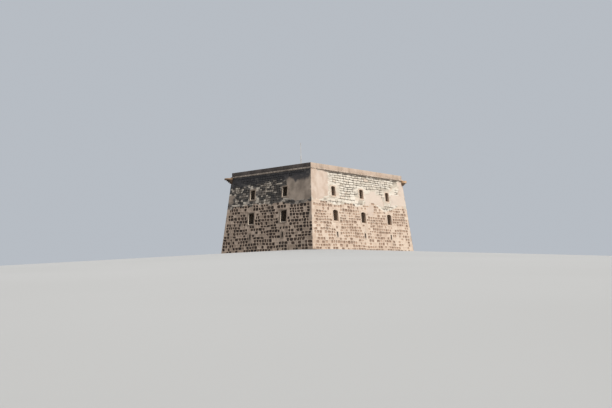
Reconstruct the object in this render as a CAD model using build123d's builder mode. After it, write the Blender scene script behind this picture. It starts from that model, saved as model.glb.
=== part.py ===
from build123d import *
import os

# A square-built coastal watch tower with leaning walls, in millimetres.
# The origin is the middle of the tower at ground level. The long front faces -Y,
# the short left side faces -X, and +Z is up.

# Plan and lean of the outer faces: run inwards for each unit of height
base_length = 27100.0
base_width = 20040.0
batter = 0.1037

# Levels above the ground
first_floor_level = 3600.0
second_floor_level = 7600.0
wall_top_level = 12570.0
floor_thickness = 300.0

# Walls: thickness at the ground, and the ledge that each floor rests on
base_wall_thickness = 2900.0
floor_ledge = 200.0

# Cordon, terrace and parapet on the wall top
cordon_height = 250.0
cordon_projection = 150.0
cordon_bed = 700.0
parapet_height = 680.0
parapet_thickness = 450.0
parapet_setback = 20.0

# Bays: distance between window columns on the long and on the short sides
long_side_bay = 7220.0
short_side_bay = 7100.0

# Windows of the second floor: sills are measured at the back of the reveal
upper_window_width = 1000.0
upper_window_sill = 8720.0
upper_window_head = 10100.0
upper_window_rise = 110.0

# Windows of the first floor
middle_window_width = 1250.0
middle_window_sill = 4700.0
middle_window_head = 6360.0
middle_window_rise = 230.0

# Windows of the short sides have flat lintels
short_side_rise = 0.0

# Slits of the ground floor, under flat lintels
slit_width = 300.0
slit_sill = 2140.0
slit_head = 2880.0
slit_rise = 0.0

# Upper doorway on the back, with its threshold at the first floor
doorway_width = 1200.0
doorway_head = 6000.0
doorway_rise = 300.0

# Reveals: how deep the narrow outer part of an opening is, and how fast its sill falls
window_reveal_depth = 420.0
slit_reveal_depth = 180.0
sill_slope = 0.45

# Embrasures: the wider arched recess between the reveal and the room
embrasure_side = 380.0
embrasure_drop = 300.0
embrasure_rise = 240.0
slit_embrasure_side = 340.0

# Dressed stone round the openings
surround_width = 190.0
surround_depth = 300.0
surround_proud = 25.0
slit_surround_width = 150.0

# Corner corbels that carried round sentry boxes: a rim over narrowing courses. Their reach is
# measured outward from the corner of the wall top, and every course wraps that corner alike
corbel_wrap = 170.0
corbel_tip_reach = 400.0
corbel_course_height = 210.0
left_corbel_rim_reach = 1250.0
left_corbel_rim_height = 220.0
left_corbel_stem_reach = 900.0
left_corbel_courses = 3
right_corbel_rim_reach = 850.0
right_corbel_rim_height = 380.0
right_corbel_stem_reach = 590.0
right_corbel_courses = 2

# Mast: two tubes in a square stone step, measured in from two edges of the terrace
mast_from_left = 2550.0
mast_from_front = 4120.0
mast_lower_diameter = 120.0
mast_lower_height = 2300.0
mast_upper_diameter = 76.0
mast_upper_height = 2150.0
mast_step_size = 420.0
mast_step_height = 160.0

# Overcut beyond a face, so that a cut leaves no skin
overcut = 400.0

# Each side: outward direction, direction along the wall, and its columns of openings
long_columns = (-long_side_bay, 0.0, long_side_bay)
short_columns = (-short_side_bay / 2, short_side_bay / 2)
sides = {
    "front": ((0, -1, 0), (1, 0, 0), long_columns),
    "right": ((1, 0, 0), (0, 1, 0), short_columns),
    "back": ((0, 1, 0), (-1, 0, 0), long_columns),
    "left": ((-1, 0, 0), (0, -1, 0), short_columns),
}
long_sides = ("front", "back")
short_sides = ("left", "right")

# Each storey: bottom and top of its walls, and its number counted from the ground
storeys = {
    "ground": (0.0, first_floor_level - floor_thickness, 0),
    "middle": (first_floor_level - floor_thickness, second_floor_level - floor_thickness, 1),
    "upper": (second_floor_level - floor_thickness, wall_top_level, 2),
}


def outer_half(side, height):
    """Distance from the tower's middle to a side's outer face at a height."""
    size = base_width if side in long_sides else base_length
    return size / 2 - batter * height


def room_half(side, storey):
    """Distance from the tower's middle to a side's inner face in a storey."""
    return outer_half(side, 0.0) - base_wall_thickness + floor_ledge * storeys[storey][2]


def across(side):
    """A side at right angles to the given one."""
    return "left" if side in long_sides else "front"


def face_plane(side):
    """The leaning plane of a side's outer face, looking outwards."""
    outward = sides[side][0]
    foot = [step * outer_half(side, 0.0) for step in outward]
    return Plane(origin=foot, z_dir=(outward[0], outward[1], batter))


def section(side, start):
    """Upright plane across a side at a distance along it, X outwards and Y up."""
    outward, along, columns = sides[side]
    return Plane(origin=[step * start for step in along], x_dir=outward,
                 z_dir=[-step for step in along])


def upright(side, column, distance):
    """Upright plane facing outwards at a column, X along the side and Y up."""
    outward, along, columns = sides[side]
    origin = [along[i] * column + outward[i] * distance for i in range(3)]
    return Plane(origin=origin, x_dir=along, z_dir=outward)


def opening_face(width, sill, head, rise):
    """Outline of an opening, under a segmental arch or a flat lintel."""
    half = width / 2
    spring = head - rise
    with BuildSketch() as outline:
        with BuildLine():
            Polyline((half, spring), (half, sill), (-half, sill), (-half, spring))
            if rise > 0.0:
                ThreePointArc((-half, spring), (0, head), (half, spring))
            else:
                Line((-half, spring), (half, spring))
        make_face()
    return outline.sketch


def is_doorway(side, storey, column):
    """Only the middle bay of the back's first floor is a doorway."""
    return side == "back" and storey == "middle" and column == 0.0


def opening_sizes(side, storey, column):
    """Width, sill, head and rise of the opening in a column."""
    if storey == "ground":
        return slit_width, slit_sill, slit_head, slit_rise
    if is_doorway(side, storey, column):
        return doorway_width, first_floor_level, doorway_head, doorway_rise
    if storey == "upper":
        rise = upper_window_rise if side in long_sides else short_side_rise
        return upper_window_width, upper_window_sill, upper_window_head, rise
    rise = middle_window_rise if side in long_sides else short_side_rise
    return middle_window_width, middle_window_sill, middle_window_head, rise


def throat_distance(side, storey, column):
    """Distance from the tower's middle to the back of an opening's reveal."""
    depth = slit_reveal_depth if storey == "ground" else window_reveal_depth
    return outer_half(side, opening_sizes(side, storey, column)[1]) - depth


def bay_half(side, storey, column):
    """Half the width of the bay that holds an opening, from pier to pier."""
    widening = slit_embrasure_side if storey == "ground" else embrasure_side
    return opening_sizes(side, storey, column)[0] / 2 + widening


def reveal(side, storey, column):
    """The way in from the outer face, over a falling sill, to an opening's throat."""
    width, sill, head, rise = opening_sizes(side, storey, column)
    throat = throat_distance(side, storey, column)
    mouth = outer_half(side, sill) + overcut
    with BuildPart() as cut:
        with BuildSketch(upright(side, column, throat)):
            add(opening_face(width, sill, head, rise))
        extrude(amount=mouth - throat)
        if not is_doorway(side, storey, column):
            drop = sill_slope * (mouth - throat)
            with BuildSketch(section(side, column - width / 2)):
                with BuildLine():
                    Polyline((throat, sill), (mouth, sill - drop), (mouth, sill), close=True)
                make_face()
            extrude(amount=-width)
    return cut.part


def embrasure(side, storey, column):
    """The recess as wide as the bay, from the room to the back of the reveal."""
    width, sill, head, rise = opening_sizes(side, storey, column)
    throat = throat_distance(side, storey, column)
    depth = throat - room_half(side, storey) + overcut
    bottom = sill if is_doorway(side, storey, column) else sill - embrasure_drop
    recess = opening_face(2 * bay_half(side, storey, column), bottom, head + embrasure_rise, rise)
    with BuildPart() as cut:
        with BuildSketch(upright(side, column, throat)):
            add(recess)
        extrude(amount=-depth)
    return cut.part


def surround_block(side, storey, column):
    """The whole block of dressed stone that an opening is cut through."""
    width, sill, head, rise = opening_sizes(side, storey, column)
    throat = throat_distance(side, storey, column)
    reveal_depth = outer_half(side, sill) - throat
    border = slit_surround_width if storey == "ground" else surround_width
    bottom = sill
    if not is_doorway(side, storey, column):
        bottom -= sill_slope * reveal_depth + border
    back = max(throat, outer_half(side, sill) - surround_depth)
    with BuildPart() as stone:
        with BuildSketch(upright(side, column, back)):
            add(opening_face(width + 2 * border, bottom, head + border, rise))
        extrude(amount=surround_depth + overcut)
    return stone.part


def wall_stretch(side, storey, start, end, proud=0.0):
    """A solid stretch of a storey's wall, leaning outside and upright inside."""
    bottom, top, number = storeys[storey]
    inner = room_half(side, storey)
    with BuildPart() as stretch:
        with BuildSketch(section(side, start)):
            with BuildLine():
                Polyline((inner, bottom), (outer_half(side, bottom) + proud, bottom),
                         (outer_half(side, top) + proud, top), (inner, top), close=True)
            make_face()
        extrude(amount=-(end - start))
    return stretch.part


def save(piece, name):
    """Label a finished piece and write its file."""
    piece.label = name
    export_step(piece, f"parts/{name}.step")


def make_piers(side, storey):
    """The piers between a storey's openings: those of the long sides hold the corners."""
    if side in long_sides:
        run = outer_half(across(side), storeys[storey][0]) + overcut
    else:
        run = room_half(across(side), storey)
    start = -run
    with BuildPart() as piers:
        for column in sides[side][2]:
            half = bay_half(side, storey, column)
            add(wall_stretch(side, storey, start, column - half))
            start = column + half
        add(wall_stretch(side, storey, start, run))
        if side in long_sides:
            for end in short_sides:
                split(bisect_by=face_plane(end), keep=Keep.BOTTOM)
    save(piers.part, f"{side}_{storey}_piers")


def make_bays(side, storey):
    """The walls below, beside and over a storey's openings, from pier to pier."""
    with BuildPart() as bays:
        for column in sides[side][2]:
            half = bay_half(side, storey, column)
            add(wall_stretch(side, storey, column - half, column + half))
            add(surround_block(side, storey, column), mode=Mode.SUBTRACT)
            add(reveal(side, storey, column), mode=Mode.SUBTRACT)
            add(embrasure(side, storey, column), mode=Mode.SUBTRACT)
    kind = "slit" if storey == "ground" else "window"
    save(bays.part, f"{side}_{storey}_{kind}_bays")


def dressed_frame(side, storey, column):
    """The dressed stone round one opening, a little proud of the wall's face."""
    half = bay_half(side, storey, column)
    with BuildPart() as frame:
        add(surround_block(side, storey, column))
        add(wall_stretch(side, storey, column - half, column + half, surround_proud),
            mode=Mode.INTERSECT)
        add(reveal(side, storey, column), mode=Mode.SUBTRACT)
    return frame.part


def make_surrounds(name, storey):
    """The dressed surrounds of all the openings in a storey."""
    with BuildPart() as surrounds:
        for side in sides:
            for column in sides[side][2]:
                add(dressed_frame(side, storey, column))
    save(surrounds.part, name)


def make_floor(name, storey):
    """A floor slab on the ledge at the foot of a storey's walls."""
    with BuildPart() as slab:
        with BuildSketch(Plane.XY.offset(storeys[storey][0])):
            Rectangle(2 * room_half("left", storey), 2 * room_half("front", storey))
        extrude(amount=floor_thickness)
    save(slab.part, name)


def make_cordon(side):
    """One length of the round-nosed string course, mitred at the corners."""
    face = outer_half(side, wall_top_level)
    run = outer_half(across(side), wall_top_level)
    nose = cordon_height / 2
    low = wall_top_level
    high = low + cordon_height
    shoulder = face + cordon_projection - nose
    outward, along, columns = sides[side]
    with BuildPart() as course:
        with BuildSketch(section(side, -run - overcut)):
            with BuildLine():
                Polyline((shoulder, high), (face - cordon_bed, high),
                         (face - cordon_bed, low), (shoulder, low))
                ThreePointArc((shoulder, low), (shoulder + nose, low + nose), (shoulder, high))
            make_face()
        extrude(amount=-2 * (run + overcut))
        for turn in (1, -1):
            corner = [outward[i] * face + along[i] * run * turn for i in range(3)]
            away = [along[i] * turn - outward[i] for i in range(3)]
            split(bisect_by=Plane(origin=corner, z_dir=away), keep=Keep.BOTTOM)
    save(course.part, f"{side}_cordon")


def make_parapet(side):
    """One upright length of the parapet: the long ones hold the corners."""
    face = outer_half(side, wall_top_level) - parapet_setback
    run = outer_half(across(side), wall_top_level) - parapet_setback
    if side in short_sides:
        run -= parapet_thickness
    low = wall_top_level + cordon_height
    with BuildPart() as wall:
        with BuildSketch(section(side, -run)):
            with Locations((face - parapet_thickness / 2, low + parapet_height / 2)):
                Rectangle(parapet_thickness, parapet_height)
        extrude(amount=-2 * run)
    save(wall.part, f"{side}_parapet")


def make_terrace():
    """The roof slab, level with the top of the cordon and inside its bed."""
    with BuildPart() as slab:
        with BuildSketch(Plane.XY.offset(wall_top_level)):
            Rectangle(2 * (outer_half("left", wall_top_level) - cordon_bed),
                      2 * (outer_half("front", wall_top_level) - cordon_bed))
        extrude(amount=cordon_height)
    save(slab.part, "roof_terrace")


def corbel_course(turn_x, turn_y, top, reach, height):
    """One round course, with its centre outward on the diagonal of the corner."""
    corner_x = turn_x * outer_half("left", wall_top_level)
    corner_y = turn_y * outer_half("front", wall_top_level)
    outward = Vector(turn_x, turn_y, 0).normalized() * ((reach - corbel_wrap) / 2)
    with BuildPart() as course:
        with BuildSketch(Plane(Vector(corner_x, corner_y, top) + outward)):
            Circle((reach + corbel_wrap) / 2)
        extrude(amount=-height)
    return course.part


def make_corbel(name, turn_x, turn_y, face_x, face_y, rim_reach, rim_height, stem_reach, courses):
    """The stepped round base of a sentry box, cut to sit on a corner of the walls."""
    depth = rim_height + courses * corbel_course_height
    narrowing = (stem_reach - corbel_tip_reach) / (courses - 1)
    with BuildPart() as walls:
        with BuildSketch(Plane.XY.offset(wall_top_level - depth - overcut)):
            Rectangle(base_length, base_width)
        extrude(amount=depth + overcut)
        split(bisect_by=face_plane(face_x), keep=Keep.BOTTOM)
        split(bisect_by=face_plane(face_y), keep=Keep.BOTTOM)
    with BuildPart() as corbel:
        add(corbel_course(turn_x, turn_y, wall_top_level, rim_reach, rim_height))
        for course in range(courses):
            top = wall_top_level - rim_height - course * corbel_course_height
            reach = stem_reach - course * narrowing
            add(corbel_course(turn_x, turn_y, top, reach, corbel_course_height))
        add(walls.part, mode=Mode.SUBTRACT)
    save(corbel.part, name)


def make_mast():
    """A slim mast of two tubes in a square stone step on the terrace."""
    mast_x = mast_from_left + cordon_bed - outer_half("left", wall_top_level)
    mast_y = mast_from_front + cordon_bed - outer_half("front", wall_top_level)
    foot = wall_top_level + cordon_height
    socket = foot + mast_step_height
    shoulder = socket + mast_lower_height
    with BuildPart() as mast:
        with BuildSketch(Plane((mast_x, mast_y, foot))):
            Rectangle(mast_step_size, mast_step_size)
        extrude(amount=mast_step_height)
        with BuildSketch(Plane((mast_x, mast_y, socket))):
            Circle(mast_lower_diameter / 2)
        extrude(amount=mast_lower_height)
        with BuildSketch(Plane((mast_x, mast_y, shoulder))):
            Circle(mast_upper_diameter / 2)
        extrude(amount=mast_upper_height)
    save(mast.part, "roof_mast")


os.makedirs("parts", exist_ok=True)
for side_name in sides:
    for storey_name in storeys:
        make_piers(side_name, storey_name)
        make_bays(side_name, storey_name)
    make_cordon(side_name)
    make_parapet(side_name)
make_surrounds("slit_surrounds", "ground")
make_surrounds("middle_window_surrounds", "middle")
make_surrounds("upper_window_surrounds", "upper")
make_floor("first_floor", "middle")
make_floor("second_floor", "upper")
make_terrace()
make_corbel("left_corner_corbel", -1, 1, "left", "back", left_corbel_rim_reach,
            left_corbel_rim_height, left_corbel_stem_reach, left_corbel_courses)
make_corbel("right_corner_corbel", 1, -1, "right", "front", right_corbel_rim_reach,
            right_corbel_rim_height, right_corbel_stem_reach, right_corbel_courses)
make_mast()
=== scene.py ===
from collections import namedtuple
from math import cos, radians, sin
from random import Random

import bmesh
import bpy
from mathutils import Matrix, Vector, noise


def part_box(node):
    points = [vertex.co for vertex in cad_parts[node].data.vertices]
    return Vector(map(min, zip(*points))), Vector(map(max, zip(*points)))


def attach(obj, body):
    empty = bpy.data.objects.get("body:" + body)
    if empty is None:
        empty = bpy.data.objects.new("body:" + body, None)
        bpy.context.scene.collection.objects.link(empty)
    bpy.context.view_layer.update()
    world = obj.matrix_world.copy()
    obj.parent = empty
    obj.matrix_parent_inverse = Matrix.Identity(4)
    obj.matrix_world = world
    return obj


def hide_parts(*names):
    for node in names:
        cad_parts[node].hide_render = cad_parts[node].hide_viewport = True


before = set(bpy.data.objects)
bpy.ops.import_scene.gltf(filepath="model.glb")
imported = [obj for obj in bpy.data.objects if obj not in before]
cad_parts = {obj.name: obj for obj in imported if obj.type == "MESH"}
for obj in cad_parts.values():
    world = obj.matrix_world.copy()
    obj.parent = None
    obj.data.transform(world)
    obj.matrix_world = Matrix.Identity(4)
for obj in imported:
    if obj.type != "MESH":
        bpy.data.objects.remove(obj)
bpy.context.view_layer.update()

# The same unevenness in every run
noise.seed_set(5)

# Sizes that the model already holds, in metres
foot_low, foot_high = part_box("front_ground_piers")
storey_low, storey_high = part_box("front_upper_piers")
half_length = foot_high[0]
half_width = -foot_low[1]
wall_top = storey_high[2]
lean = (half_width + storey_low[1]) / storey_low[2]
cordon_low, cordon_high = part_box("front_cordon")
terrace_low, terrace_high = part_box("roof_terrace")

upward = Vector((0, 0, 1))

# Each side: outward direction, direction along the wall, distance out and half its length
Side = namedtuple("Side", "outward along out run")
sides = {
    "front": Side(Vector((0, -1, 0)), Vector((1, 0, 0)), half_width, half_length),
    "right": Side(Vector((1, 0, 0)), Vector((0, 1, 0)), half_length, half_width),
    "back": Side(Vector((0, 1, 0)), Vector((-1, 0, 0)), half_width, half_length),
    "left": Side(Vector((-1, 0, 0)), Vector((0, -1, 0)), half_length, half_width),
}
surround_nodes = ("slit_surrounds", "middle_window_surrounds", "upper_window_surrounds")


def by_side(long, short):
    """A value for each side: one for both long sides, one for both short ones."""
    return {"front": long, "right": short, "back": long, "left": short}


# Seeds of the random draws, and where each side's unevenness is read from
stone_seed = {"front": 11, "right": 12, "back": 13, "left": 14}
cordon_seed = {"front": 35, "right": 35, "back": 34, "left": 34}
parapet_seed = {"front": 55, "right": 55, "back": 54, "left": 54}
terrace_seed = 71
own_noise = {"front": 5.0, "right": 5.0, "back": 4.0, "left": 4.0}

# Limits for the shaping of pieces
merge_reach = 0.0004
nearly_flat = radians(0.5)
sharp_edge = radians(50)

# Masonry: worn ashlar below, coursed rubble above, on a backing
facing_depth = 0.17
backing_overlap = 0.01
on_face = 0.01
ashlar_top = 7.8
rubble_beds_from = ashlar_top - 0.2
joint_groups = 6
quoin_width = by_side(long=0.62, short=0.30)
reveal_depth = 0.47
opening_margin = 0.35

# Heights of courses and lengths of stones
ashlar_course = (0.40, 0.56)
ashlar_stone = (0.46, 0.82)
first_stone = (0.55, 1.1)
least_last_stone = 0.5
least_top_course = 0.18
rubble_course = by_side(long=(0.34, 0.54), short=(0.28, 0.44))
rubble_stone = by_side(long=(0.55, 1.45), short=(0.36, 0.78))

# Smooth remains of render: start and end along the wall, then in height, and how bleached
render_patches = {
    "front": ((-12.8, -8.5, 7.9, 12.6, 0.1), (0.6, 5.9, 7.7, 9.4, 0.9), (7.9, 12.8, 8.1, 9.8, 0.9),
              (11.0, 12.8, 9.5, 12.3, 0.6), (2.1, 4.0, 9.3, 10.2, 1.0), (1.0, 2.8, 5.8, 7.5, 0.4)),
    "right": ((-9.4, -5.6, 8.2, 11.6, 0.5), (2.2, 5.2, 7.7, 9.2, 0.2)),
    "back": ((-12.6, -9.2, 7.9, 11.4, 0.2), (3.0, 6.0, 7.6, 9.4, 0.8)),
    "left": ((3.9, 9.4, 7.95, 11.6, 0.3), (-9.5, -8.0, 8.0, 9.6, 0.1)),
}

# How the faces of ashlar wear, in steps of border width and depth, and their shares. The last stay sound.
ashlar_faces = (
    ((0.070, 0.0), (0.045, -0.076), (0.060, -0.036)),
    ((0.045, 0.0), (0.050, -0.086), (0.060, -0.034)),
    ((0.090, 0.0), (0.050, -0.066), (0.040, -0.020)),
    ((0.060, 0.0), (0.045, -0.054), (0.080, -0.055)),
    ((0.040, 0.0), (0.060, -0.012), (0.050, -0.008)),
)
ashlar_shares = (0.28, 0.24, 0.16, 0.14, 0.18)
pit_border = by_side(long=0.75, short=0.35)

# The like steps of rubble, how far its joints lie in, and how much more its courses wander
rubble_faces = (
    ((0.055, -0.004), (0.050, 0.0)),
    ((0.045, -0.018), (0.050, -0.004)),
    ((0.066, 0.0), (0.060, 0.004)),
)
rubble_joint = 0.118
loose_rubble = 1.7

# Kinds of wear are numbered: ashlar first, then rubble
unworn = -1
ashlar_kinds = range(len(ashlar_faces))
rubble_kinds = range(len(ashlar_faces), len(ashlar_faces + rubble_faces))
sound = ashlar_kinds[-1]

# The least sizes that let a stone wear, and the share of its own box that it fills
least_ashlar = 0.37
least_rubble = 0.16
least_edge = 0.06
fullness_by_opening = 0.94
fullness_elsewhere = 0.74


def depth_in(side, point):
    """How far a point lies inside a side's leaning outer face, measured level."""
    return sides[side].out - lean * point.z - point.dot(sides[side].outward)


def from_corner(side, along_wall, height):
    """How far a spot on a wall lies from the nearer corner."""
    return sides[side].run - lean * height - abs(along_wall)


def place(side, along_wall, height, depth):
    """The point at a distance along a wall, a height and a depth in from its face."""
    here = sides[side]
    level_out = here.out - lean * height - depth
    return here.outward * level_out + here.along * along_wall + Vector((0, 0, height))


def luck_at(first, second, part):
    """Random draws that depend on a place only, never on the order of a mesh's faces."""
    return Random(f"{part} {first:.3f} {second:.3f}")


def steps(start, end, rng, lengths):
    """Places from a start up to an end, each a drawn length after the last."""
    position = start
    while position < end:
        yield position
        position += rng.uniform(*lengths)


def extent(vertices, direction):
    """How far points reach back and forward along a direction."""
    spans = [v.co.dot(direction) for v in vertices]
    return min(spans), max(spans)


def select_none():
    bpy.ops.object.select_all(action="DESELECT")


def only(piece):
    """Makes a piece the one that is selected and worked on."""
    select_none()
    piece.select_set(True)
    bpy.context.view_layer.objects.active = piece


def edit(piece):
    """Opens a piece for shaping, with nothing on it selected."""
    only(piece)
    bpy.ops.object.mode_set(mode="EDIT")
    bpy.ops.mesh.select_all(action="DESELECT")


def close():
    """Ends the shaping of a piece."""
    bpy.ops.object.mode_set(mode="OBJECT")


def pick_all():
    """Selects the whole of the open piece."""
    bpy.ops.mesh.select_all(action="SELECT")


def pick_points(piece, test):
    """Selects the vertices of an open piece that pass a test."""
    bpy.ops.mesh.select_all(action="DESELECT")
    bpy.ops.mesh.select_mode(type="VERT")
    work = bmesh.from_edit_mesh(piece.data)
    for v in work.verts:
        v.select = test(v)
    bmesh.update_edit_mesh(piece.data)


def pick(piece, test):
    """Selects the faces of an open piece that pass a test."""
    work = bmesh.from_edit_mesh(piece.data)
    bpy.ops.mesh.select_all(action="DESELECT")
    for face in work.faces:
        if test(face):
            face.select = True
    bmesh.update_edit_mesh(piece.data)


def slice_at(place_on_plane, direction):
    """Cuts the whole of the open piece by a plane."""
    pick_all()
    bpy.ops.mesh.bisect(plane_co=place_on_plane, plane_no=direction)


def new_block(name):
    """A cube of one metre, ready to be given its own corners."""
    select_none()
    bpy.ops.mesh.primitive_cube_add(size=1)
    block = bpy.context.object
    block.name = name
    return block


def fill_box(block, low, high):
    """Moves a block's corners to those of a box."""
    for v in block.data.vertices:
        v.co = Vector([high[k] if v.co[k] > 0 else low[k] for k in range(3)])


def cad_copy(name, node):
    """A merged copy of a CAD node's own shape."""
    piece = bpy.data.objects.new(name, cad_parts[node].data.copy())
    bpy.context.scene.collection.objects.link(piece)
    piece.data.materials.clear()
    edit(piece)
    pick_all()
    bpy.ops.mesh.remove_doubles(threshold=merge_reach)
    close()
    return piece


def clean_copy(name, node):
    """A copy left open for shaping, its flat faces free of triangles."""
    piece = cad_copy(name, node)
    edit(piece)
    pick_all()
    bpy.ops.mesh.dissolve_limited(angle_limit=nearly_flat)
    return piece


def wear_arrises(piece, width, segments):
    """Rounds a piece's sharp edges."""
    only(piece)
    worn = piece.modifiers.new("worn", "BEVEL")
    worn.width = width
    worn.segments = segments
    worn.limit_method = "ANGLE"
    worn.angle_limit = sharp_edge
    bpy.ops.object.modifier_apply(modifier=worn.name)


def smooth(piece, up_to):
    """Shades a piece smoothly over edges up to an angle in degrees."""
    only(piece)
    bpy.ops.object.shade_smooth_by_angle(angle=radians(up_to))


def join(pieces, name):
    """Joins pieces into one."""
    select_none()
    for piece in pieces:
        piece.select_set(True)
    bpy.context.view_layer.objects.active = pieces[0]
    bpy.ops.object.join()
    joined = bpy.context.object
    joined.name = name
    joined.data.name = name
    return joined


def finish_piece(piece, slot_name, nodes, *finishes):
    """Sets a piece with its finishes on the tower, in the place of the nodes it stands for."""
    for finish in finishes:
        piece.data.materials.append(finish)
    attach(piece, "root")
    if nodes:
        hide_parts(*nodes)


def note(piece, name, value):
    """A number at each point of a piece, for its finish to read."""
    layer = piece.data.attributes.new(name, "FLOAT", "POINT")
    layer.data.foreach_set("value", [value(point.co) for point in piece.data.vertices])


class Signal:
    """A number that changes over a surface: arithmetic on it adds Math nodes."""

    def __init__(self, finish, socket):
        self.finish = finish
        self.socket = socket

    def math(self, operation, first, second):
        return self.finish.value("Math", {"operation": operation}, {0: first, 1: second})

    def __add__(self, other):
        return self.math("ADD", self, other)

    __radd__ = __add__

    def __sub__(self, other):
        return self.math("SUBTRACT", self, other)

    def __rsub__(self, other):
        return self.math("SUBTRACT", other, self)

    def __mul__(self, other):
        return self.math("MULTIPLY", self, other)

    __rmul__ = __mul__

    def __mod__(self, other):
        return self.math("FLOORED_MODULO", self, other)

    def __abs__(self):
        return self.math("ABSOLUTE", self, 0.0)

    def least(self, other):
        return self.math("MINIMUM", self, other)

    def most(self, other):
        return self.math("MAXIMUM", self, other)


class Finish:
    """A procedural finish on a piece's own object coordinates."""

    def __init__(self, name):
        self.material = bpy.data.materials.new(name)
        self.material.use_nodes = True
        self.tree = self.material.node_tree
        self.tree.nodes.clear()
        self.spot = self.node("TexCoord").outputs["Object"]
        split = self.node("SeparateXYZ", {}, {0: self.spot})
        self.x = Signal(self, split.outputs[0])
        self.y = Signal(self, split.outputs[1])
        self.z = Signal(self, split.outputs[2])

    def node(self, kind, settings=None, sockets=None):
        """Any node: its settings are set first, then its sockets are filled or linked."""
        made = self.tree.nodes.new("ShaderNode" + kind)
        for name, value in (settings or {}).items():
            if name == "stops":
                ramp = made.color_ramp
                while len(ramp.elements) < len(value):
                    ramp.elements.new(0.5)
                for element, (position, colour) in zip(ramp.elements, value):
                    element.position = position
                    element.color = (*colour, 1.0)
            else:
                setattr(made, name, value)
        for key, value in (sockets or {}).items():
            if isinstance(value, Signal):
                value = value.socket
            if isinstance(value, bpy.types.NodeSocket):
                self.tree.links.new(value, made.inputs[key])
            else:
                made.inputs[key].default_value = value
        return made

    def value(self, kind, settings=None, sockets=None, output=0):
        """A node's output as a number, ready for arithmetic."""
        return Signal(self, self.node(kind, settings, sockets).outputs[output])

    def noted(self, name):
        """A number kept on the piece itself."""
        return self.value("Attribute", {"attribute_name": name}, {}, "Fac")

    def rise(self, signal, start, end):
        """A smooth change from 0 to 1 while the signal goes from start to end."""
        return self.value("MapRange", {"interpolation_type": "SMOOTHSTEP"},
                          {"Value": signal, "From Min": start, "From Max": end})

    def noise(self, scale, detail=4.0, stretch=(1.0, 1.0, 1.0), shift=0.0, roughness=0.6):
        """Unevenness of some fineness: a shift keeps two of them apart."""
        mapped = self.node("Mapping", {}, {"Vector": self.spot, "Scale": stretch,
                                           "Location": (shift, shift * 1.7, shift * 0.6)})
        return self.value("TexNoise", {}, {"Vector": mapped.outputs[0], "Scale": scale,
                                           "Detail": detail, "Roughness": roughness})

    def ramp(self, signal, *stops):
        """A colour that follows a row of stops."""
        return self.node("ValToRGB", {"stops": stops}, {0: signal}).outputs[0]

    def mix(self, factor, first, second, blend="MIX"):
        """A colour between two, each a socket or three numbers."""
        ends = [(*end, 1.0) if isinstance(end, tuple) else end for end in (first, second)]
        made = self.node("Mix", {"data_type": "RGBA", "blend_type": blend, "clamp_factor": True},
                         {0: factor, 6: ends[0], 7: ends[1]})
        return made.outputs[2]

    def close(self, colour, roughness, height, distance, strength):
        """Sets the surface's shader, with its relief in metres."""
        bump = self.node("Bump", {}, {"Height": height, "Distance": distance, "Strength": strength})
        shader = self.node("BsdfPrincipled", {}, {
            "Base Color": colour, "Roughness": roughness, "Specular IOR Level": 0.25,
            "Normal": bump.outputs[0]})
        self.node("OutputMaterial", {}, {"Surface": shader.outputs[0]})
        return self.material


# Colours of the stone, as linear red, green and blue
sunny = {
    "lattice": (0.57, 0.43, 0.325), "lattice_light": (0.72, 0.585, 0.465),
    "hollow": (0.53, 0.38, 0.28), "hollow_dark": (0.29, 0.195, 0.14),
    "stones": ((0.0, (0.44, 0.375, 0.295)), (0.25, (0.62, 0.545, 0.445)), (0.7, (0.80, 0.725, 0.615)),
               (0.9, (0.66, 0.54, 0.43)), (1.0, (0.33, 0.295, 0.255))),
    "joint": (0.088, 0.067, 0.052), "render": (0.52, 0.392, 0.30), "render_light": (0.67, 0.545, 0.45),
    "bleached": (0.69, 0.58, 0.485), "soot": (0.12, 0.098, 0.080), "stain": (0.40, 0.365, 0.315),
}
# The short sides' copy of the stone is darker: stains on the stone, and painted shade as well, darkest in
# the pits.
stained_and_shaded = {
    "lattice": (0.335, 0.250, 0.188), "lattice_light": (0.55, 0.425, 0.33),
    "hollow": (0.135, 0.092, 0.068), "hollow_dark": (0.050, 0.036, 0.029),
    "stones": ((0.0, (0.046, 0.043, 0.041)), (0.36, (0.105, 0.094, 0.084)), (0.60, (0.22, 0.185, 0.155)),
               (0.78, (0.46, 0.395, 0.325)), (1.0, (0.76, 0.67, 0.55))),
    "joint": (0.035, 0.029, 0.025), "render": (0.24, 0.19, 0.15), "render_light": (0.43, 0.342, 0.27),
    "bleached": (0.40, 0.32, 0.255), "soot": (0.054, 0.051, 0.053), "stain": (0.16, 0.140, 0.122),
}
palettes = by_side(long=sunny, short=stained_and_shaded)


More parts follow.
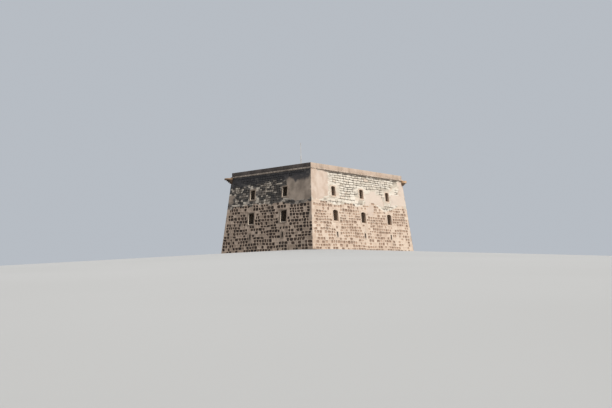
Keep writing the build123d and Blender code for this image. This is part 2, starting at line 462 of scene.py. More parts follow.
def masonry_finish(side):
    """Worn ashlar, rubble, remains of render, sooty stains, a painted shadow under the cordon and painted
    shade in the pits on one side's outer face.
    """
    tone = palettes[side]
    finish = Finish(side + "_masonry")
    tint = finish.noted("tint")
    cloud = finish.noise(0.35, 3.0)
    grain = finish.noise(9.0, 6.0, shift=3.0)
    speck = finish.noise(38.0, 5.0, shift=7.0)
    hollow = finish.rise(finish.noted("hollow") + 0.5 * (grain - 0.5), 0.12, 0.55)
    lattice = finish.mix(finish.rise(tint * 0.5 + cloud * 0.9 + grain * 0.5, 0.6, 1.3),
                         tone["lattice"], tone["lattice_light"])
    # Pits are darker than the lattice: stains on the stone, and painted shade in the hollows.
    pit = finish.mix(finish.rise(grain * 0.8 + tint * 0.6, 0.4, 1.1), tone["hollow_dark"], tone["hollow"])
    ashlar = finish.mix(hollow, lattice, pit)
    stone = finish.ramp(tint * 0.8 + grain * 0.3 - 0.05, *tone["stones"])
    open_joint = 0.5 + 0.5 * finish.rise(finish.noise(0.7, 4.0, shift=15.0), 0.42, 0.58)
    rubble = finish.mix(hollow * open_joint, stone, tone["joint"])
    zone = finish.rise(finish.noted("rubble") + 0.4 * (grain - 0.5), 0.35, 0.65)
    wall = finish.mix(zone, ashlar, rubble)
    edge = finish.noise(1.3, 6.0, shift=5.0)
    coat = finish.rise(finish.noted("coat") + 1.1 * (edge - 0.5), 0.38, 0.56)
    along = (1.0, 1.0, 0.16)
    streak = finish.noise(1.1, 5.0, stretch=along, shift=2.0)
    blotch = finish.noise(0.9, 5.0, shift=11.0)
    mottle = finish.rise(cloud * 0.5 + 0.5 * blotch + 0.3 * (streak - 0.5), 0.34, 0.66)
    coated = finish.mix(mottle, tone["render"], tone["render_light"])
    bleached = finish.rise(finish.noted("bleach") + 0.7 * (blotch - 0.5), 0.2, 0.9) * 0.8
    coated = finish.mix(bleached, coated, tone["bleached"])
    wall = finish.mix(coat, wall, coated)
    damp = finish.rise(finish.noise(0.42, 5.0, shift=21.0, roughness=0.7), 0.55, 0.70)
    wall = finish.mix(damp * 0.32, wall, tone["stain"])
    # A sooty band on the short sides; on the long sides, a painted shadow under the cordon.
    soot = finish.rise(finish.noted("soot") + 0.9 * (streak - 0.5), 0.2, 0.85)
    wall = finish.mix(soot * 0.92, wall, tone["soot"])
    wall = finish.mix(finish.rise(speck, 0.35, 0.7) * 0.35, wall, (0.5, 0.5, 0.5), "SOFT_LIGHT")
    height = grain * 0.7 + speck * 0.3 - coat * (grain * 0.5)
    return finish.close(wall, 0.92 - 0.12 * grain, height, 0.05, 0.9)


def inner_finish(name, dark, light):
    """Old lime plaster on the rooms and inside the window recesses."""
    finish = Finish(name)
    cloud = finish.noise(0.5, 5.0)
    grain = finish.noise(14.0, 5.0, shift=4.0)
    colour = finish.mix(finish.rise(cloud * 0.7 + grain * 0.3, 0.35, 0.65), dark, light)
    return finish.close(colour, 0.9 + 0.06 * grain, grain, 0.02, 0.7)


def surround_finish():
    """Dressed stone: its face as weathered as the wall, its reveals paler, then painted shade deeper within.
    """
    finish = Finish("dressed_surrounds")
    short_side = half_length - lean * finish.z - abs(finish.x)
    long_side = half_width - lean * finish.z - abs(finish.y)
    depth = short_side.least(long_side)
    shade = finish.rise(long_side - short_side, -0.05, 0.05)
    slit = finish.rise(finish.z, 3.4, 3.2)
    inner = finish.rise(depth, -0.012, 0.012)
    cloud = finish.noise(0.9, 4.0)
    grain = finish.noise(10.0, 6.0, shift=2.0)
    mottle = finish.rise(cloud * 0.6 + grain * 0.5, 0.35, 0.8)
    sunny_face = finish.mix(mottle, (0.62, 0.48, 0.37), (0.76, 0.63, 0.51))
    # The short sides' face is darker: stains on the stone, and painted shade.
    stained_and_shaded_face = finish.mix(mottle, (0.20, 0.152, 0.118), (0.37, 0.29, 0.225))
    reveal = finish.mix(shade, finish.mix(mottle, (0.50, 0.36, 0.26), (0.70, 0.54, 0.41)),
                        finish.mix(mottle, (0.56, 0.46, 0.36), (0.76, 0.65, 0.53)))
    colour = finish.mix(inner, finish.mix(shade, sunny_face, stained_and_shaded_face), reveal)
    # Painted shade deep in the short sides' reveals, a lighter painted shade deep in the long sides'
    # reveals, and painted shade all through the slits.
    painted_reveal_shade = finish.rise(depth + 0.06 * (grain - 0.5), 0.12, 0.20) * shade
    painted_reveal_shade = painted_reveal_shade.most(finish.rise(depth, 0.30, 0.60) * 0.30)
    painted_reveal_shade = painted_reveal_shade.most(finish.rise(depth, -0.01, 0.005) * slit)
    colour = finish.mix(painted_reveal_shade * 0.95, colour, (0.045, 0.034, 0.028))
    joint = abs(finish.z % 0.43 - 0.215)
    line = finish.rise(joint, 0.016, 0.005) * (1.0 - inner)
    colour = finish.mix(line * 0.4, colour, (0.20, 0.15, 0.115))
    return finish.close(colour, 0.85 + 0.08 * grain, grain - line * 0.6, 0.03, 0.9)


def step_finish():
    """Plain dressed stone, lighter where it is worn."""
    finish = Finish("step_stone")
    grain = finish.noise(16.0, 6.0, shift=2.0)
    colour = finish.mix(finish.rise(grain, 0.35, 0.7), (0.34, 0.27, 0.20), (0.58, 0.48, 0.37))
    return finish.close(colour, 0.85 + 0.08 * grain, grain, 0.01, 0.8)


def corbel_finish(name, rim_height, sunlit):
    """A plain stone rim over courses darkened as painted shade: the less bright, the darker both are
    painted, as painted shade.
    """
    finish = Finish(name)
    grain = finish.noise(9.0, 6.0, shift=6.0)
    cloud = finish.noise(1.6, 4.0, shift=1.0)
    mottle = finish.rise(grain * 0.6 + cloud * 0.5, 0.35, 0.75)
    rim = finish.mix(mottle, (0.52, 0.31, 0.17), (0.70, 0.47, 0.29))
    # The courses under the rim are darker as painted shade, and the less bright a corbel, the more painted
    # shade on both.
    stem = finish.mix(mottle, (0.10, 0.068, 0.046), (0.24, 0.158, 0.105))
    rim = finish.mix(1.0 - sunlit, rim, (0.16, 0.10, 0.06))
    stem = finish.mix(1.0 - sunlit, stem, (0.012, 0.009, 0.007))
    edge = wall_top - rim_height
    under = finish.rise(finish.z + 0.10 * (cloud - 0.5), edge + 0.06, edge - 0.02)
    return finish.close(finish.mix(under, rim, stem), 0.85 + 0.08 * grain, grain, 0.03, 0.9)


def streaked_finish(name, dark, light, stain):
    """Rough stone or render, with darker streaks that run down it."""
    finish = Finish(name)
    cloud = finish.noise(0.6, 5.0)
    grain = finish.noise(13.0, 6.0, shift=6.0)
    streak = finish.noise(1.6, 5.0, stretch=(1.0, 1.0, 0.2), shift=9.0)
    colour = finish.mix(finish.rise(cloud * 0.7 + grain * 0.4, 0.35, 0.75), dark, light)
    colour = finish.mix(finish.rise(streak, 0.45, 0.75) * 0.6, colour, stain)
    return finish.close(colour, 0.88 + 0.08 * grain, grain * 0.6 + cloud * 0.4, 0.04, 0.9)


def paving_finish():
    """Worn terrace flags, each a little different."""
    finish = Finish("terrace_flags")
    tint = finish.noted("tint")
    cloud = finish.noise(0.45, 4.0)
    grain = finish.noise(10.0, 6.0, shift=1.0)
    colour = finish.mix(finish.rise(tint * 0.6 + cloud * 0.5 + grain * 0.3, 0.3, 1.1),
                        (0.30, 0.24, 0.18), (0.58, 0.47, 0.36))
    return finish.close(colour, 0.9 - 0.1 * grain, grain, 0.02, 0.8)


def slab_finish():
    """Dull floors within the tower."""
    finish = Finish("floor_slabs")
    cloud = finish.noise(0.7, 4.0)
    grain = finish.noise(12.0, 5.0, shift=1.0)
    mottle = finish.rise(cloud * 0.7 + grain * 0.4, 0.35, 0.75)
    colour = finish.mix(mottle, (0.20, 0.16, 0.12), (0.36, 0.29, 0.22))
    return finish.close(colour, 0.85 + 0.1 * grain, grain, 0.015, 0.7)


def mast_finish():
    """Weathered light paint with rust at its runs."""
    finish = Finish("mast_paint")
    chips = finish.noise(22.0, 5.0)
    runs = finish.noise(7.0, 5.0, stretch=(1.0, 1.0, 0.12), shift=2.0)
    rust = finish.rise(chips * 0.5 + runs * 0.6, 0.56, 0.68)
    colour = finish.mix(rust, (0.62, 0.59, 0.54), (0.24, 0.12, 0.06))
    return finish.close(colour, 0.45 + 0.4 * rust, chips - rust * 0.3, 0.002, 0.6)


def ground_finish():
    """Plain pale ground."""
    finish = Finish("pale_ground")
    colour = finish.mix(finish.noise(0.05, 2.0), (0.45, 0.44, 0.42), (0.50, 0.49, 0.47))
    return finish.close(colour, 0.9, finish.noise(2.0, 2.0), 0.01, 0.2)


def opening_plugs():
    """Convex plugs as large as each dressed surround, sorted by side."""
    front_depth = 0.04
    reach = 0.2
    plugs = {side: [] for side in sides}
    for node in surround_nodes:
        piece = cad_copy("plug", node)
        edit(piece)
        pick_all()
        bpy.ops.mesh.separate(type="LOOSE")
        close()
        for plug in list(bpy.context.selected_objects):
            middle = sum((v.co for v in plug.data.vertices), Vector()) / len(plug.data.vertices)
            side = min(sides, key=lambda name: abs(depth_in(name, middle)))
            edit(plug)
            pick_all()
            bpy.ops.mesh.convex_hull()
            close()
            for v in plug.data.vertices:
                outside = depth_in(side, v.co) < front_depth
                v.co += sides[side].outward * (reach if outside else -reach)
            plugs[side].append(plug)
    return plugs


def wall_nodes(side):
    """The CAD nodes that one side's masonry stands for."""
    return [f"{side}_{storey}_{kind}" for storey, kind in (
        ("ground", "piers"), ("middle", "piers"), ("upper", "piers"),
        ("ground", "slit_bays"), ("middle", "window_bays"), ("upper", "window_bays"))]


def make_backing(side):
    """The wall behind its stone facing, as the solids give it, with dressed stone in the reveals."""
    tolerance = 0.004
    copies = [cad_copy("backing", node) for node in wall_nodes(side)]
    backing = join(copies, side + "_backing")
    for v in backing.data.vertices:
        for name in sides:
            if abs(depth_in(name, v.co)) < tolerance:
                v.co -= sides[name].outward * (facing_depth - backing_overlap)
    backing.data.materials.append(room_finish[side])
    backing.data.materials.append(dressed)
    for face in backing.data.polygons:
        if facing_depth < depth_in(side, face.center) < reveal_depth:
            face.material_index = 1
    return backing


def course_levels(side, rng):
    """Heights of the bed joints: ashlar courses, then thinner ones of rubble."""
    levels = []
    level = rng.uniform(*ashlar_course)
    while level < wall_top - least_top_course:
        levels.append(level)
        level += rng.uniform(*(ashlar_course if level < rubble_beds_from else rubble_course[side]))
    return levels


def patch_at(side, along_wall, height):
    """How bleached the ragged render is at a spot, or nothing where there is none."""
    ragged = noise.noise_vector(Vector((along_wall * 0.55, height * 0.55, 4.0)))
    frayed = noise.noise_vector(Vector((along_wall * 1.7, height * 1.7, 9.0)))
    where = along_wall + 0.55 * ragged.x + 0.25 * frayed.x
    level = height + 0.45 * ragged.y + 0.25 * frayed.y
    for start, end, low, high, bleached in render_patches[side]:
        if start < where < end and low < level < high:
            return bleached
    return None


def rubble_from(side, along_wall):
    """The uneven height at which the worn ashlar gives way to rubble."""
    broad = noise.noise(Vector((along_wall * 0.22, 3.1, own_noise[side])))
    close_by = noise.noise(Vector((along_wall * 0.9, 6.1, own_noise[side])))
    return ashlar_top - 0.35 + 1.1 * broad + 0.5 * close_by


def sound_stone(side, along_wall, height):
    """The chance that an ashlar block has kept its face: it varies in broad areas."""
    area = noise.noise(Vector((along_wall * 0.30, height * 0.42, 20.0 + own_noise[side])))
    return 0.06 + 0.60 * max(0.0, area - 0.14)


def clear_of(holes, along_wall, height):
    """From 0 at the edge of an opening to 1 well away from every one."""
    nearest = 1.0
    for start, end, low, high in holes:
        gap = max(start - along_wall, along_wall - end, low - height, height - high)
        nearest = min(nearest, max(0.0, gap) / opening_margin)
    return nearest


def gather_joints(facing, side, holes):
    """Upright joints that nearly meet across a bed joint are brought together."""
    along = sides[side].along
    reach = 0.14
    off_edge = 0.1
    off_corner = 0.2
    off_opening = 0.3

    def free(v):
        where, height = v.co.dot(along), v.co.z
        inside = abs(depth_in(side, v.co)) < on_face and off_edge < height < wall_top - off_edge
        clear = clear_of(holes, where, height) > off_opening
        return inside and clear and from_corner(side, where, height) > off_corner

    pick_points(facing, free)
    bpy.ops.mesh.remove_doubles(threshold=reach)


def settle(facing, side, holes):
    """Lets the courses wander a little, but not at openings, corners, top or foot."""
    along = sides[side].along
    corner_fade = 0.6
    edge_fade = 0.4
    broad_shift = (0.10, 0.16)
    near_shift = (0.075, 0.065)
    work = bmesh.from_edit_mesh(facing.data)
    for v in work.verts:
        depth = depth_in(side, v.co)
        if abs(depth) > on_face:
            continue
        where, height = v.co.dot(along), v.co.z
        off_edge = min(height, wall_top - height)
        inside = min(1.0, from_corner(side, where, height) / corner_fade, off_edge / edge_fade)
        ease = inside * clear_of(holes, where, height)
        if ease < 0.02:
            continue
        broad = noise.noise_vector(Vector((where * 0.33, height * 0.5, own_noise[side])))
        close_by = noise.noise_vector(Vector((where * 1.9, height * 1.9, own_noise[side] + 5.0)))
        loose = loose_rubble if height > ashlar_top - 0.3 else 1.0
        where += ease * (broad_shift[0] * broad.x + near_shift[0] * loose * close_by.x)
        height += ease * (broad_shift[1] * broad.y + near_shift[1] * loose * close_by.y)
        v.co = place(side, where, max(0.0, height), depth)
    bmesh.update_edit_mesh(facing.data)


def new_facing(side):
    """A slab that leans as the wall does, mitred at both ends."""
    facing = new_block(side + "_wall")
    for v in facing.data.vertices:
        height = wall_top if v.co.z > 0 else 0.0
        depth = 0.0 if v.co.y < 0 else facing_depth
        turn = 1 if v.co.x > 0 else -1
        v.co = place(side, turn * (sides[side].run - lean * height - depth), height, depth)
    return facing


def hole_bounds(side, plugs):
    """Each opening's start and end along the wall, and its lowest and highest points."""
    return [(*extent(plug.data.vertices, sides[side].along), *extent(plug.data.vertices, upward))
            for plug in plugs]


def cut_holes(facing, plugs):
    """Cuts the openings through a facing."""
    cutter = join(plugs, "plugs")
    only(facing)
    cut = facing.modifiers.new("openings", "BOOLEAN")
    cut.operation = "DIFFERENCE"
    cut.solver = "EXACT"
    cut.object = cutter
    bpy.ops.object.modifier_apply(modifier=cut.name)
    bpy.data.objects.remove(cutter)


def cut_stones(facing, side):
    """Cuts a facing's outer face into courses and each course into stones."""
    here = sides[side]
    rng = Random(stone_seed[side])
    squarely = 0.9
    near_face = 0.12

    def outer(face):
        off_face = abs(depth_in(side, face.calc_center_median()))
        return face.normal.dot(here.outward) > squarely and off_face < near_face

    levels = course_levels(side, rng)
    for level in levels:
        pick(facing, outer)
        bpy.ops.mesh.bisect(plane_co=(0, 0, level), plane_no=(0, 0, 1))
    beds = [0.0] + levels + [wall_top]
    work = bmesh.from_edit_mesh(facing.data)
    row = work.faces.layers.int.new("row")
    for face in work.faces:
        middle = face.calc_center_median().z
        face[row] = sum(bed < middle for bed in beds) - 1 if outer(face) else -1
    bmesh.update_edit_mesh(facing.data)
    for ashlar in (True, False):
        for group in range(joint_groups):
            rows = {k for k in range(group, len(beds) - 1, joint_groups)
                    if (beds[k] < rubble_beds_from) == ashlar}
            lengths = ashlar_stone if ashlar else rubble_stone[side]
            start = -here.run + rng.uniform(*first_stone)
            for position in steps(start, here.run - least_last_stone, rng, lengths):
                row = bmesh.from_edit_mesh(facing.data).faces.layers.int["row"]
                pick(facing, lambda face: face[row] in rows)
                bpy.ops.mesh.bisect(plane_co=here.along * position, plane_no=here.along)


def stone_wear(face, side, holes, draw):
    """A stone's kind of wear: none where it is cut short, a quoin or under render."""
    along = sides[side].along
    middle = face.calc_center_median()
    where = middle.dot(along)
    start, end = extent(face.verts, along)
    low, high = extent(face.verts, upward)
    wide = end - start
    tall = high - low
    small = min(wide, tall)
    shortest = min(edge.calc_length() for edge in face.edges)
    fullness = fullness_by_opening if clear_of(holes, where, middle.z) < 0.7 else fullness_elsewhere
    cut_short = face.calc_area() < fullness * wide * tall or shortest < least_edge
    quoin = from_corner(side, where, middle.z) < quoin_width[side]
    if cut_short or quoin or patch_at(side, where, middle.z) is not None:
        return unworn
    if middle.z > rubble_from(side, where):
        return draw.choice(rubble_kinds) if small > least_rubble else unworn
    if small < least_ashlar:
        return unworn
    chance = draw.random()
    if draw.random() < sound_stone(side, where, middle.z):
        return sound
    for kind, share in enumerate(ashlar_shares):
        chance -= share
        if chance < 0:
            return kind
    return unworn


def choose_wear(facing, side, holes):
    """Notes each stone's tint and kind of wear on its face."""
    along = sides[side].along
    work = bmesh.from_edit_mesh(facing.data)
    tint = work.faces.layers.float.new("tint")
    wear = work.faces.layers.int.new("wear")
    row = work.faces.layers.int["row"]
    for face in work.faces:
        middle = face.calc_center_median()
        draw = luck_at(middle.dot(along), middle.z, side)
        face[tint] = draw.random()
        face[wear] = unworn if face[row] < 0 else stone_wear(face, side, holes, draw)
    bmesh.update_edit_mesh(facing.data)


def wear_stones(facing, side):
    """Sinks pits into the ashlar, and lets the rubble stand out from its joints."""
    outward = sides[side].outward

    def spot(v):
        return tuple(round(c, 4) for c in v.co)

    work = bmesh.from_edit_mesh(facing.data)
    wear = work.faces.layers.int["wear"]
    rubble_spots = {spot(v) for face in work.faces if face[wear] in rubble_kinds for v in face.verts}
    other_spots = {spot(v) for face in work.faces if face[wear] not in rubble_kinds for v in face.verts}
    for kind, insets in enumerate(ashlar_faces + rubble_faces):
        work = bmesh.from_edit_mesh(facing.data)
        wear = work.faces.layers.int["wear"]
        pick(facing, lambda face: face[wear] == kind)
        for width, drop in insets:
            if kind in ashlar_kinds and drop == 0.0:
                width *= pit_border[side]
            bpy.ops.mesh.inset(thickness=width, depth=drop, use_individual=True, use_even_offset=False)
    work = bmesh.from_edit_mesh(facing.data)
    joints = rubble_spots - other_spots
    for v in work.verts:
        if spot(v) in joints:
            v.co -= outward * rubble_joint
    bmesh.update_edit_mesh(facing.data)


def divide_faces(facing, side):
    """Halves the edges of all that faces out, which gives the wear more points to move."""
    outward = sides[side].outward
    barely_out = 0.15
    pit_bottom = 0.16

    def faces_out(face):
        shallow = depth_in(side, face.calc_center_median()) < pit_bottom
        return shallow and face.normal.dot(outward) > barely_out

    pick(facing, faces_out)
    bpy.ops.mesh.subdivide(number_cuts=1)


def round_stones(facing, kinds, passes):
    """Rounds off the corners within stones of some kinds, and leaves the outline of each stone."""
    layers = bmesh.from_edit_mesh(facing.data).faces.layers
    wear = layers.int["wear"]
    tint = layers.float["tint"]

    def within_stone(v):
        one_stone = len({face[tint] for face in v.link_faces}) == 1
        return one_stone and all(face[wear] in kinds for face in v.link_faces)

    pick_points(facing, within_stone)
    bpy.ops.mesh.vertices_smooth(factor=0.5, repeat=passes)


def roughen(piece, side, holes):
    """Uneven wear: only ever inwards from the face, and none at the corners."""
    here = sides[side]
    sharp_corner = 0.05
    corner_fade = 0.4
    slide_reach = 0.030
    even_wear = 0.010
    uneven_wear = 0.012
    in_pit = 0.02
    pit_wear = 0.014
    for v in piece.data.vertices:
        depth = depth_in(side, v.co)
        if depth > facing_depth - on_face:
            continue
        where = v.co.dot(here.along)
        ease = min(1.0, max(0.0, (from_corner(side, where, v.co.z) - sharp_corner) / corner_fade))
        broad = noise.fractal(v.co * 2.3, 1.0, 2.0, 3)
        fine = noise.fractal(v.co * 7.0 + Vector((5, 5, 5)), 1.0, 2.0, 2)
        if 0.0 < v.co.z < wall_top - 0.01:
            slide = noise.noise_vector(v.co * 4.0) * slide_reach * ease * clear_of(holes, where, v.co.z)
            v.co += here.along * slide.x + Vector((0, 0, max(slide.z, -v.co.z)))
        wear = even_wear + uneven_wear * broad + uneven_wear * fine
        if depth > in_pit:
            wear += pit_wear * fine
        v.co -= here.outward * max(0.0, wear) * ease


def deep_soot(along_wall, height, wave):
    """Under a short side's cordon: a deep frayed sooty band, with faint clouds of it lower down."""
    fade = 1.1
    clouds_from, clouds_to = 8.0, 11.4
    frayed = noise.noise(Vector((along_wall * 2.1, 5.2, height * 0.5)))
    reach = 0.85 + 0.5 * wave + 0.45 * frayed + max(0.0, -0.04 * along_wall)
    band = max(0.0, 1.0 - max(0.0, wall_top - height - reach) / fade)
    cloud = noise.noise(Vector((along_wall * 0.45, 8.2, height * 0.8)))
    clouded = 0.55 * max(0.0, cloud) if clouds_from < height < clouds_to else 0.0
    return max(band * 1.05, clouded * 1.4)


def painted_cordon_shadow(along_wall, height, wave):
    """Under a long side's cordon: a thin frayed line of painted shadow, which starts short of one corner."""
    fade = 0.22
    starts_at = -11.6
    full_after = 2.0
    frayed = noise.noise(Vector((along_wall * 1.4, 5.2, height * 0.5)))
    reach = 0.16 + 0.14 * wave + 0.10 * frayed
    start = min(1.0, max(0.0, (along_wall - starts_at) / full_after))
    return start * (0.85 + 0.7 * frayed) * max(0.0, 1.0 - max(0.0, wall_top - height - reach) / fade)


def note_masonry(wall, side):
    """Where the wall is hollow, coated, rubble, sooty or under the cordon's painted shadow, point by point.
    """
    along = sides[side].along
    # Long sides: a painted shadow under the cordon; short sides: a sooty band.
    soot_and_shadow_at = by_side(long=painted_cordon_shadow, short=deep_soot)[side]
    hollow_from = 0.018
    hollow_over = 0.07

    def hollow(point):
        return min(1.0, max(0.0, (depth_in(side, point) - hollow_from) / hollow_over))

    def rubble(point):
        return 1.0 if point.z > rubble_from(side, point.dot(along)) else 0.0

    def coat(point):
        return 0.0 if patch_at(side, point.dot(along), point.z) is None else 1.0

    def bleach(point):
        return patch_at(side, point.dot(along), point.z) or 0.0

    def soot(point):
        where = point.dot(along)
        wave = noise.noise(Vector((where * 0.5, 1.7, sides[side].out)))
        return soot_and_shadow_at(where, point.z, wave)

    note(wall, "hollow", hollow)
    note(wall, "rubble", rubble)
    note(wall, "coat", coat)
    note(wall, "bleach", bleach)
    note(wall, "soot", soot)


def make_wall(side, plugs):
    """One side's wall: a facing of worn stones on its backing, with its openings cut."""
    facing = new_facing(side)
    holes = hole_bounds(side, plugs)
    cut_holes(facing, plugs)
    edit(facing)
    cut_stones(facing, side)
    gather_joints(facing, side, holes)
    choose_wear(facing, side, holes)
    settle(facing, side, holes)
    wear_stones(facing, side)
    divide_faces(facing, side)
    round_stones(facing, ashlar_kinds, 2)
    round_stones(facing, rubble_kinds, 1)
    close()
    roughen(facing, side, holes)
    facing.data.materials.append(masonry_finish(side))
    wall = join([facing, make_backing(side)], side + "_wall")
    note_masonry(wall, side)
    smooth(wall, 42)
    finish_piece(wall, "ashlar", wall_nodes(side))


def make_surrounds(node, finish):
    """The dressed stones round a storey's openings, with worn arrises."""
    piece = clean_copy(node + "_stones", node)
    close()
    wear_arrises(piece, width=0.02, segments=2)
    smooth(piece, 35)
    finish_piece(piece, "dressed_stone", [node], finish)


def make_cordon(side, finish):
    """A round-nosed string course in separate stones, each a little narrower at its ends."""
    outward, along, out, run = sides[side]
    rng = Random(cordon_seed[side])
    stone_length = (0.75, 1.1)
    end_stone = 1.9
    half_joint = 0.012
    into_stone = 0.4
    bed_depth = 0.3
    kept_corner = 0.2
    joint_reach = 0.004
    even_wear, uneven_wear, joint_wear = 0.008, 0.016, 0.022
    narrowing = 0.12
    piece = clean_copy(side + "_cordon_stones", side + "_cordon")
    joints = list(steps(-run + end_stone, run - end_stone, rng, stone_length))
    for joint in joints:
        for shift in (-half_joint, 0.0, half_joint):
            slice_at(along * (joint + shift), along)
    for joint in joints:
        slice_at(along * (joint + into_stone), along)
    close()
    wall_face = out - lean * wall_top
    centre = (cordon_low[2] + cordon_high[2]) / 2
    for v in piece.data.vertices:
        where = v.co.dot(along)
        bedded = v.co.dot(outward) < wall_face - bed_depth
        near_corner = from_corner(side, where, wall_top) <= kept_corner
        if bedded or near_corner:
            continue
        at_joint = any(abs(where - joint) < joint_reach for joint in joints)
        wear = even_wear + uneven_wear * abs(noise.noise(v.co * 1.9)) + (joint_wear if at_joint else 0.0)
        v.co -= outward * wear
        if at_joint:
            v.co.z += (centre - v.co.z) * narrowing
    smooth(piece, 32)
    finish_piece(piece, "dressed_stone", [side + "_cordon"], finish)


def make_parapet(side, sunlit, dark):
    """A low wall with rounded, uneven edges, darker where it faces a short side: stains there, and painted
    shade.
    """
    here = sides[side]
    rng = Random(parapet_seed[side])
    end_length = 0.9
    cut_apart = (0.28, 0.46)
    even_dip, dip, sway = 0.012, 0.02, 0.014
    piece = clean_copy(side + "_parapet_wall", side + "_parapet")
    for position in steps(-here.run + end_length, here.run - end_length, rng, cut_apart):
        slice_at(here.along * position, here.along)
    close()
    wear_arrises(piece, width=0.05, segments=3)
    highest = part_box(side + "_parapet")[1]
    dips_from = highest[2] - 0.2
    for v in piece.data.vertices:
        if v.co.z > dips_from:
            long_dip = even_dip + dip * abs(noise.noise(v.co * 0.9))
            v.co.z -= long_dip + dip * max(0.0, noise.noise(v.co * 3.1))
        v.co -= here.outward * sway * noise.noise(v.co * 1.7)
    smooth(piece, 38)
    # Faces towards a short side take the darker render: stains, and painted shade.
    for face in piece.data.polygons:
        face.material_index = 1 if abs(face.normal.x) > 0.6 else 0
    finish_piece(piece, "parapet_stone", [side + "_parapet"], sunlit, dark)


def make_terrace(finish):
    """A paved terrace: flags with sunk joints."""
    rng = Random(terrace_seed)
    low, high = terrace_low, terrace_high
    sunk = 0.014
    flag_length = 0.62
    flag_width = (0.5, 0.66)
    first_width = 0.55
    least_flag = 0.3
    half_joint, joint_edge = 0.012, 0.010
    slab = new_block("roof_terrace_flags")
    fill_box(slab, low, (high[0], high[1], high[2] - sunk))
    edit(slab)

    def top(face):
        return face.normal.z > 0.9

    position = low[0] + flag_length
    while position < high[0] - least_flag:
        pick(slab, top)
        bpy.ops.mesh.bisect(plane_co=(position, 0, 0), plane_no=(1, 0, 0))
        position += flag_length
    for position in steps(low[1] + first_width, high[1] - least_flag, rng, flag_width):
        pick(slab, top)
        bpy.ops.mesh.bisect(plane_co=(0, position, 0), plane_no=(0, 1, 0))
    work = bmesh.from_edit_mesh(slab.data)
    tint = work.faces.layers.float.new("tint")
    for face in work.faces:
        middle = face.calc_center_median()
        face[tint] = luck_at(middle.x, middle.y, "flags").random()
    bmesh.update_edit_mesh(slab.data)
    pick(slab, top)
    bpy.ops.mesh.inset(thickness=half_joint, depth=0.0, use_individual=True)
    bpy.ops.mesh.inset(thickness=joint_edge, depth=sunk, use_individual=True)
    close()
    finish_piece(slab, "floor_stone", ["roof_terrace"], finish)


def make_corbel(name, turn_x, turn_y, finish):
    """The round moulded base of a sentry box: its courses worn to rolls."""
    corner = Vector((turn_x * (half_length - lean * wall_top), turn_y * (half_width - lean * wall_top), 0))
    on_wall = 0.003
    roll = 0.065
    core = 0.3
    even_wear, uneven_wear = 0.006, 0.04
    piece = clean_copy(name + "_rolls", name)
    bpy.ops.mesh.select_all(action="DESELECT")
    bpy.ops.mesh.select_mode(type="EDGE")
    work = bmesh.from_edit_mesh(piece.data)
    for edge in work.edges:
        bedded = all(min(abs(depth_in(side, v.co)) for side in sides) < on_wall for v in edge.verts)
        sharp = len(edge.link_faces) == 2 and edge.calc_face_angle() > sharp_edge
        edge.select = sharp and not bedded
    bmesh.update_edit_mesh(piece.data)
    bpy.ops.mesh.bevel(offset=roll, segments=4, affect="EDGES", clamp_overlap=True)
    bpy.ops.mesh.select_mode(type="VERT")
    close()
    for v in piece.data.vertices:
        away = Vector((v.co.x - corner.x, v.co.y - corner.y, 0))
        if away.length > core:
            v.co -= away * (even_wear + uneven_wear * abs(noise.noise(v.co * 2.7)))
    smooth(piece, 40)
    finish_piece(piece, "dressed_stone", [name], finish)


def make_mast(finish, stone):
    """Two tubes with a collar and a ball end, in a stone step."""
    low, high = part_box("roof_mast")
    x = (low[0] + high[0]) / 2
    y = (low[1] + high[1]) / 2
    step_height = 0.16
    step_top = low[2] + step_height
    shoulder = step_top + 2.3
    foot_radius = 0.11
    plate = 0.03
    lip = 0.0005
    same_level = 0.001
    select_none()
    bpy.ops.mesh.primitive_cylinder_add(
        vertices=24, radius=foot_radius, depth=plate, location=(x, y, step_top + plate / 2))
    tube = bpy.context.object
    tube.name = "roof_mast_tubes"
    bpy.ops.object.transform_apply(location=True)
    edit(tube)

    # How much narrower each step of the tube is, and how far it then goes up
    profile = (
        (0.05, lip), (0.0, 2.16), (-0.018, lip), (0.0, 0.11), (0.018, lip), (0.022, 0.03),
        (0.0, high[2] - shoulder - 0.06), (-0.014, lip), (0.0, 0.03), (0.012, 0.015), (0.02, 0.012))
    for narrower, up in profile:
        work = bmesh.from_edit_mesh(tube.data)
        top = max(face.calc_center_median().z for face in work.faces if face.normal.z > 0.9)
        pick(tube, lambda face: face.normal.z > 0.9 and abs(face.calc_center_median().z - top) < same_level)
        bpy.ops.mesh.extrude_region_move(TRANSFORM_OT_translate={"value": (0, 0, up)})
        work = bmesh.from_edit_mesh(tube.data)
        for v in work.verts:
            if v.select and narrower:
                radius = Vector((v.co.x - x, v.co.y - y)).length
                scale = (radius - narrower) / radius
                v.co.x = x + (v.co.x - x) * scale
                v.co.y = y + (v.co.y - y) * scale
        bmesh.update_edit_mesh(tube.data)
    close()

    # The ball end comes down to the height of the solid
    excess = max(v.co.z for v in tube.data.vertices) - high[2]
    for v in tube.data.vertices:
        if v.co.z > shoulder + 0.5:
            v.co.z -= excess
    smooth(tube, 40)
    finish_piece(tube, "mast_paint", ["roof_mast"], finish)
    step = new_block("roof_mast_step")
    fill_box(step, low, (high[0], high[1], step_top))
    wear_arrises(step, width=0.02, segments=3)
    smooth(step, 40)
    finish_piece(step, "floor_stone", [], stone)


def make_ground(finish):
    """A pale hill that falls away from the foot of the walls."""
    reach = 420.0
    fall = 0.06
    level_strip = 1.0
    below_foot = 0.002
    select_none()
    bpy.ops.mesh.primitive_grid_add(x_subdivisions=120, y_subdivisions=120, size=2 * reach)
    ground = bpy.context.object
    ground.name = "ground"
    for v in ground.data.vertices:
        off_end = max(0.0, abs(v.co.x) - half_length - level_strip)
        off_face = max(0.0, abs(v.co.y) - half_width - level_strip)
        v.co.z = -fall * Vector((off_end, off_face)).length - below_foot
    ground.data.materials.append(finish)


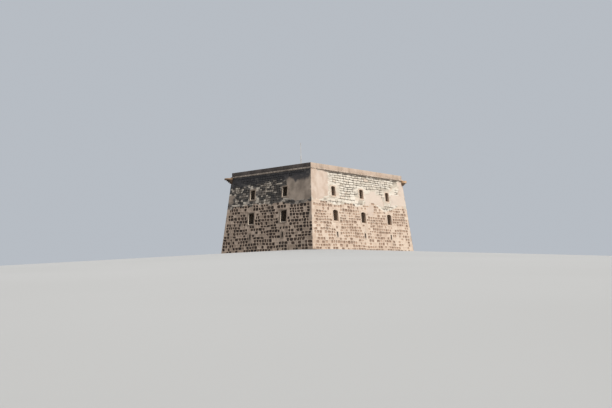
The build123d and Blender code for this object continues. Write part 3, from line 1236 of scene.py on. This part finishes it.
def sun(name, direction, strength, angle, colour):
    """A light from a direction, the softer the wider its angle in degrees."""
    select_none()
    bpy.ops.object.light_add(type="SUN", location=(0, 0, 60))
    lamp = bpy.context.object
    lamp.name = name
    lamp.rotation_euler = Vector(direction).to_track_quat("Z", "Y").to_euler()
    lamp.data.energy = strength
    lamp.data.angle = radians(angle)
    lamp.data.color = colour


def pale_sky(colour, strength):
    """Even light from all round."""
    world = bpy.data.worlds.new("pale_sky")
    world.use_nodes = True
    background = world.node_tree.nodes["Background"]
    background.inputs[0].default_value = (*colour, 1.0)
    background.inputs[1].default_value = strength
    bpy.context.scene.world = world


def set_camera(place_of_eye, yaw, pitch, roll, lens):
    """A camera turned from straight along +Y by three angles in radians."""
    ahead = Vector((sin(yaw) * cos(pitch), cos(yaw) * cos(pitch), sin(pitch)))
    level_right = Vector((cos(yaw), -sin(yaw), 0))
    level_up = level_right.cross(ahead)
    right = level_right * cos(roll) + level_up * sin(roll)
    up = level_up * cos(roll) - level_right * sin(roll)
    camera = bpy.data.objects.new("camera", bpy.data.cameras.new("camera"))
    bpy.context.scene.collection.objects.link(camera)
    turned = Matrix((right, up, -ahead)).transposed().to_4x4()
    camera.matrix_world = Matrix.Translation(place_of_eye) @ turned
    camera.data.lens = lens
    camera.data.sensor_width = 36.0
    camera.data.clip_end = 2000.0
    bpy.context.scene.camera = camera


# Finishes that several pieces share
# The short sides' rooms and recesses get a darker copy of the same plaster: painted shade.
room_finish = by_side(
    long=inner_finish("pale_inner_plaster", dark=(0.60, 0.46, 0.34), light=(0.80, 0.64, 0.50)),
    short=inner_finish("shaded_inner_plaster", dark=(0.24, 0.18, 0.13), light=(0.42, 0.33, 0.25)))
# The short sides' cordon is a darker copy: stains on the stone, and painted shade.
cordon_finish = by_side(
    long=streaked_finish(
        "cordon_stone", dark=(0.53, 0.41, 0.315), light=(0.80, 0.655, 0.53), stain=(0.28, 0.21, 0.16)),
    short=streaked_finish(
        "cordon_stained_and_shaded_stone", dark=(0.24, 0.195, 0.16), light=(0.50, 0.425, 0.355), stain=(0.10, 0.083, 0.07)))
dressed = surround_finish()
parapet_sun = streaked_finish(
    "parapet_render", dark=(0.46, 0.345, 0.26), light=(0.62, 0.49, 0.39), stain=(0.30, 0.235, 0.18))
# The darker render for faces towards the short sides: stains, and painted shade.
parapet_stained_and_shaded = streaked_finish(
    "parapet_stained_and_shaded_render", dark=(0.065, 0.055, 0.05), light=(0.15, 0.122, 0.108), stain=(0.045, 0.04, 0.038))

# The pieces
plugs = opening_plugs()
for side in sides:
    make_wall(side, plugs[side])
for node in surround_nodes:
    make_surrounds(node, dressed)
for side in sides:
    make_cordon(side, cordon_finish[side])
    make_parapet(side, parapet_sun, parapet_stained_and_shaded)
make_terrace(paving_finish())
make_corbel("left_corner_corbel", -1, 1, corbel_finish("left_corbel_stone", rim_height=0.22, sunlit=0.35))
make_corbel("right_corner_corbel", 1, -1, corbel_finish("right_corbel_stone", rim_height=0.38, sunlit=0.95))
make_mast(mast_finish(), step_finish())
slabs = slab_finish()
for node in ("first_floor", "second_floor"):
    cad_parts[node].data.materials.clear()
    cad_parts[node].data.materials.append(slabs)
make_ground(ground_finish())

# Soft light: a broad sun on the front, a faint one from behind, and a pale sky
sun("front_light", (-0.04, -0.80, 0.60), strength=2.8, angle=8, colour=(1.0, 0.97, 0.93))
sun("back_light", (0.7, 0.62, 0.5), strength=1.0, angle=50, colour=(1.0, 1.0, 1.0))
pale_sky((0.86, 0.92, 1.0), strength=0.55)
bpy.context.scene.view_settings.view_transform = "Standard"

# The photograph's viewpoint
set_camera((-110.70, -93.24, -5.71), yaw=0.8552, pitch=0.0976, roll=-0.015, lens=50.0)
